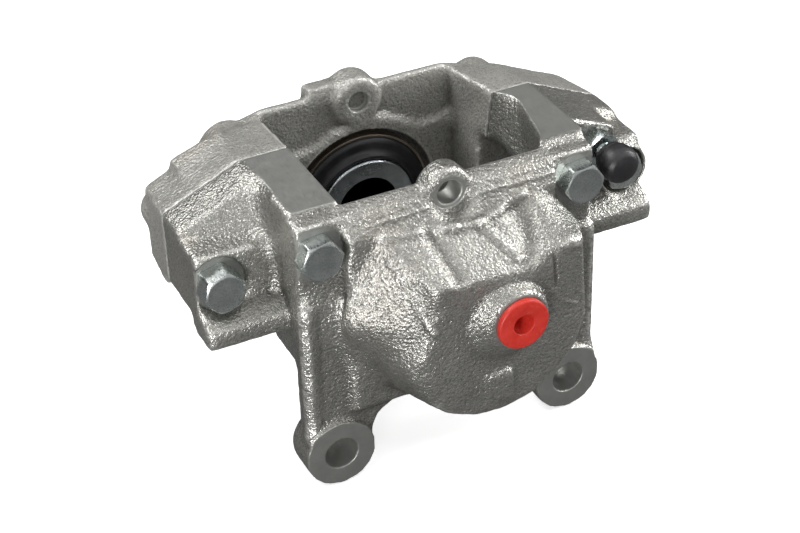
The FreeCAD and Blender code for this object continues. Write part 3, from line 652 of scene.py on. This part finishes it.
def rounded(profile, radius):
    """Softens the corners of a closed profile with short arcs."""
    out = []
    count = len(profile)
    for i in range(count):
        p = Vector(profile[i])
        before, after = Vector(profile[i - 1]), Vector(profile[(i + 1) % count])
        to_before, to_after = before - p, after - p
        if p.x < 1e-6 or to_before.length < 1e-6 or to_after.length < 1e-6:
            out.append(tuple(p))
            continue
        cut = min(radius, to_before.length * 0.4, to_after.length * 0.4)
        a = p + to_before.normalized() * cut
        b = p + to_after.normalized() * cut
        for t in (0.0, 0.33, 0.67, 1.0):
            q = a * (1 - t) ** 2 + p * 2 * t * (1 - t) + b * t ** 2
            out.append((q.x, q.y))
    return out


def lathe(name, profile, centre, body, material, stands_for, soften, segments=128):
    """Turns a closed (radius, along) profile in millimetres about an axis along Y."""
    outline = rounded(profile, soften)
    verts, faces, rings = [], [], []
    for radius, along in outline:
        if radius < 1e-6:
            rings.append([len(verts)])
            verts.append(row((centre[0], centre[1] + along, centre[2])))
            continue
        ring = []
        for i in range(segments):
            a = 2 * math.pi * i / segments
            ring.append(len(verts))
            verts.append(row((centre[0] + radius * math.cos(a), centre[1] + along,
                              centre[2] + radius * math.sin(a))))
        rings.append(ring)
    count = len(rings)
    for i in range(count):
        first, second = rings[i], rings[(i + 1) % count]
        if len(first) == 1 and len(second) == 1:
            continue
        for k in range(segments):
            n = (k + 1) % segments
            if len(first) == 1:
                faces.append((first[0], second[n], second[k]))
            elif len(second) == 1:
                faces.append((first[k], first[n], second[0]))
            else:
                faces.append((first[k], first[n], second[n], second[k]))
    obj = new_object(name, verts, faces)
    bm = bmesh.new()
    bm.from_mesh(obj.data)
    bmesh.ops.remove_doubles(bm, verts=bm.verts, dist=1e-7)
    bmesh.ops.recalc_face_normals(bm, faces=bm.faces)
    bm.to_mesh(obj.data)
    bm.free()
    finish_piece(obj, body, material, stands_for)


def finish_piece(obj, body, material, stands_for):
    """Shades and dresses a finished piece, and puts it in a CAD node's place on its body."""
    obj.data.polygons.foreach_set("use_smooth", np.ones(len(obj.data.polygons), bool))
    obj.data.set_sharp_from_angle(angle=math.radians(38))
    dress(obj, material)
    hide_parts(stands_for)
    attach(obj, body)


# ---------------------------------------------------------------- bolts

def hex_radius(angle, flats, soft):
    """Radius of a hexagon with rounded corners, along an angle."""
    wedge = (angle + math.pi / 6) % (math.pi / 3) - math.pi / 6
    plain = flats / 2 / math.cos(wedge)
    corner = flats / 2 / math.cos(math.pi / 6)
    return min(plain, corner - soft + soft * 0.5 * (corner - plain) / max(corner - flats / 2, 1e-6))


def bolt_mesh(bm, x, y, z, flats, height, shank, length, twist):
    """A hexagon bolt along Y; its head points to -Y from the seat at y."""
    face = flats / 2 * 0.93
    segments = 144
    rings = []
    levels = [("hex", 0.0), ("hex", 0.15), ("chamfer", 0.0), ("chamfer", 0.5), ("face", face),
              ("face", face - 0.25), ("dish", face - 0.7), ("dish", face * 0.5)]
    for kind, amount in levels:
        ring = []
        for i in range(segments):
            a = 2 * math.pi * i / segments
            hexagon = hex_radius(a, flats, 0.25)
            slope = (hexagon - face) * math.tan(math.radians(30))
            if kind == "hex":
                r, d = hexagon - (0.2 if amount == 0.0 else 0.0), amount
            elif kind == "chamfer":
                r, d = hexagon - amount * (hexagon - face), height - slope * (1.0 - amount)
            elif kind == "face":
                r, d = amount, height
            else:
                r, d = amount, height - 0.12
            b = a + twist
            ring.append(bm.verts.new(row((x + r * math.cos(b), y - d, z + r * math.sin(b)))))
        rings.append(ring)
    for first, second in zip(rings, rings[1:]):
        for k in range(segments):
            n = (k + 1) % segments
            bm.faces.new((first[k], first[n], second[n], second[k]))
    bm.faces.new(rings[-1])
    tail = []
    for r, d in ((shank, 0.0), (shank, length - 1.0), (shank - 1.0, length)):
        ring = []
        for i in range(segments):
            b = 2 * math.pi * i / segments + twist
            ring.append(bm.verts.new(row((x + r * math.cos(b), y + d, z + r * math.sin(b)))))
        tail.append(ring)
    for first, second in zip([rings[0]] + tail, tail):
        for k in range(segments):
            n = (k + 1) % segments
            bm.faces.new((first[k], second[k], second[n], first[n]))
    bm.faces.new(list(reversed(tail[-1])))


def bolt_pair(name, node, x, z, seat, end, heads, twists):
    """The left and right bolt of a pair, each with its own head height and twist in degrees."""
    bm = bmesh.new()
    for side, head, twist in zip((-1, 1), heads, twists):
        bolt_mesh(bm, x * side, -seat, z, BOLT_FLATS, head, BOLT_SHANK, seat + end, math.radians(twist))
    bmesh.ops.recalc_face_normals(bm, faces=bm.faces)
    mesh = bpy.data.meshes.new(name)
    bm.to_mesh(mesh)
    bm.free()
    obj = bpy.data.objects.new(name, mesh)
    bpy.context.scene.collection.objects.link(obj)
    finish_piece(obj, "caliper", ZINC, node)


# ---------------------------------------------------------------- assembly

def piston_set(name, out):
    """One cylinder's piston, boot and clamp band; out is -1 for the inboard half."""
    cup = [(11.85, 27.65), (18.4, 27.65), (18.9, 28.2), (18.9, 57.2), (0.0, 57.2), (0.0, 51.65),
           (11.85, 51.65)]
    boot = [(19.06, 28.9), (20.4, 28.9), (21.3, 30.4), (22.4, 31.1), (24.8, 31.3), (26.0, 32.1),
            (26.3, 33.4), (26.3, 38.2), (24.66, 38.2), (24.66, 34.1), (22.0, 34.1), (20.6, 32.9),
            (20.1, 31.4), (19.06, 31.4)]
    band = [(26.37, 32.7), (27.3, 32.7), (27.3, 37.4), (26.37, 37.4)]
    axis = (0, 0, 0)

    def faced(profile):
        return [(r, a * out) for r, a in profile]

    piston = name + "_piston"
    lathe(piston + "_turned", faced(cup), axis, piston, STEEL, piston, 0.25)
    lathe(name + "_gaiter", faced(boot), axis, "caliper", BOOT, name + "_dust_boot", 0.5)
    lathe(name + "_clamp_band", faced(band), axis, "caliper", SPRING,
          name + "_boot_clamp_ring", 0.12)
    dress(NODES[name + "_piston_seal"], SEAL)


def build_bleeder():
    """The bleeder screw, its own mesh with bevelled edges."""
    screw = bpy.data.objects.new("vent_screw", NODES["bleeder_screw"].data.copy())
    bpy.context.scene.collection.objects.link(screw)
    bm = bmesh.new()
    bm.from_mesh(screw.data)
    bmesh.ops.remove_doubles(bm, verts=bm.verts, dist=1e-6)
    bm.to_mesh(screw.data)
    bm.free()
    chamfer = screw.modifiers.new("chamfer", "BEVEL")
    chamfer.width = 0.18 * MM
    chamfer.segments = 2
    chamfer.angle_limit = math.radians(35)
    screw.data = evaluated_mesh(screw)
    screw.modifiers.clear()
    finish_piece(screw, "bleeder", BRIGHT_ZINC, "bleeder_screw")


build_inboard()
build_outboard()
bolt_pair("inner_bolts", "inner_bridge_bolts", INNER_X, INNER_Z, INNER_SEAT, 40.0, (6.5, 6.5), (38.0, 35.0))
bolt_pair("outer_bolts", "outer_bridge_bolts", OUTER_X, OUTER_Z, OUTER_SEAT, 31.0, (8.5, 5.5), (47.0, 20.0))
piston_set("inboard", -1)
piston_set("outboard", 1)
dress(NODES["crossover_seal"], SEAL)
build_bleeder()

PLUG = [(3.9, -2.2), (9.0, -2.4), (9.6, -1.9), (9.6, -0.05), (4.85, -0.05), (4.85, 7.5), (0.0, 7.5),
        (0.0, 6.6), (3.3, 6.4)]
HOOD = [(3.75, -31.4), (5.6, -31.4), (6.0, -32.0), (6.0, -33.2), (6.7, -34.2), (7.1, -36.5), (7.0, -38.8),
        (6.3, -40.7), (4.9, -42.0), (2.6, -42.7), (0.0, -42.9), (0.0, -40.4), (3.75, -40.0)]
lathe("port_bung", PLUG, (PORT_X, -PORT_FACE, PORT_Z), "port_plug", PLASTIC, "port_plug", 0.4)
lathe("cap_hood", HOOD, (67.7, 0.0, 33.4), "bleeder_cap", CAP, "bleeder_cap", 0.5)

# ---------------------------------------------------------------- stage

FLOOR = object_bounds()[0].z - 0.0005


def stage_floor():
    """A pale floor that curves up into a wall far behind; sizes in metres."""
    steps, half_width = 48, 3.0
    reach, back, radius, wall_top = 1.6, 1.4, 0.35, 2.0
    profile = [(-reach, FLOOR)]
    profile += [(back - radius + radius * math.sin(t), FLOOR + radius - radius * math.cos(t))
                for t in [math.pi / 2 * i / steps for i in range(steps + 1)]]
    profile.append((back, FLOOR + wall_top))
    verts, faces = [], []
    for y, z in profile:
        verts += [(-half_width, y, z), (half_width, y, z)]
    for i in range(len(profile) - 1):
        faces.append((2 * i, 2 * i + 1, 2 * i + 3, 2 * i + 2))
    floor = new_object("studio_floor", verts, faces)
    floor.data.polygons.foreach_set("use_smooth", np.ones(len(floor.data.polygons), bool))
    m = Mat("pale_floor")
    tone = m.noise(3.0, 2.0)
    # pale to the camera, darker to everything that reflects it
    seen = m.add("ShaderNodeLightPath").outputs["Is Camera Ray"]
    pale = m.mix(tone, (0.90, 0.90, 0.90), (0.93, 0.93, 0.93))
    m.set(Base_Color=m.mix(seen, (0.11, 0.11, 0.11), pale), Roughness=0.9,
          Emission_Color=(1.0, 1.0, 1.0), Emission_Strength=m.maths("MULTIPLY", seen, 0.62))
    dress(floor, m.material)


def area(name, direction, distance, size, power):
    """An area light aimed at the caliper from a direction; distance and size in metres."""
    light = bpy.data.lights.new(name, "AREA")
    light.shape = "RECTANGLE"
    light.size, light.size_y = size
    light.energy = power
    obj = bpy.data.objects.new(name, light)
    aim = row((0, -5, 0))
    d = Vector(direction).normalized()
    obj.location = aim + d * distance
    obj.rotation_mode = "QUATERNION"
    obj.rotation_quaternion = d.to_track_quat("Z", "Y")
    bpy.context.scene.collection.objects.link(obj)


def studio_world():
    """White to the camera; for reflections a grey sky, lighter above, with soft bands across it."""
    world = bpy.data.worlds.new("studio")
    bpy.context.scene.world = world
    world.use_nodes = True
    tree = world.node_tree

    def add(kind, props, **inputs):
        node = tree.nodes.new(kind)
        for key, value in props.items():
            setattr(node, key, value)
        for key, value in inputs.items():
            node.inputs[key.replace("_", " ")].default_value = value
        return node

    where = add("ShaderNodeTexCoord", {}).outputs["Generated"]
    split = add("ShaderNodeSeparateXYZ", {})
    shade = add("ShaderNodeMapRange", {}, From_Min=-0.2, From_Max=0.9, To_Min=0.26, To_Max=0.66)
    bands = add("ShaderNodeTexWave", {"wave_type": "BANDS", "bands_direction": "DIAGONAL"},
                Scale=1.1, Distortion=2.5, Detail=1.0, Detail_Scale=1.5)
    contrast = add("ShaderNodeMapRange", {"interpolation_type": "SMOOTHSTEP"},
                   From_Min=0.25, From_Max=0.75, To_Min=0.35, To_Max=1.65)
    product = add("ShaderNodeMath", {"operation": "MULTIPLY"})
    path = add("ShaderNodeLightPath", {})
    choose = add("ShaderNodeMix", {})
    choose.inputs[3].default_value = 1.0
    sky = tree.nodes["Background"]
    sky.inputs["Color"].default_value = (1.0, 1.0, 1.0, 1.0)
    for start, end in ((where, split.inputs[0]), (split.outputs["Z"], shade.inputs["Value"]),
                       (where, bands.inputs["Vector"]), (bands.outputs["Fac"], contrast.inputs["Value"]),
                       (shade.outputs["Result"], product.inputs[0]),
                       (contrast.outputs["Result"], product.inputs[1]),
                       (path.outputs["Is Camera Ray"], choose.inputs[0]),
                       (product.outputs[0], choose.inputs[2]), (choose.outputs[0], sky.inputs["Strength"])):
        tree.links.new(start, end)


def aim_camera():
    """A long lens from the inboard side, to the left and above; place in millimetres."""
    data = bpy.data.cameras.new("camera")
    data.sensor_width = 36.0
    data.lens = 83.35
    data.clip_start, data.clip_end = 0.01, 20.0
    camera = bpy.data.objects.new("camera", data)
    bpy.context.scene.collection.objects.link(camera)
    right = Vector((0.8949, -0.4457, -0.0252))
    up = Vector((0.2698, 0.4948, 0.8262))
    turn = Matrix((right, up, right.cross(up))).transposed()
    camera.matrix_world = Matrix.Translation(row((-242.8, -507.4, 372.3))) @ turn.to_4x4()
    bpy.context.scene.camera = camera


stage_floor()
area("key_left", (-0.64, -0.76, 0.07), 0.75, (0.16, 0.14), 2.7)
area("front_strip", (0.356, -0.60, 0.71), 0.85, (0.5, 0.025), 0.6)
area("right_edge", (0.95, -0.15, 0.45), 0.8, (0.12, 0.5), 3.6)
area("top_back", (-0.45, 0.40, 0.80), 0.9, (0.5, 0.3), 4.5)
studio_world()
bpy.context.scene.view_settings.view_transform = "Standard"
aim_camera()
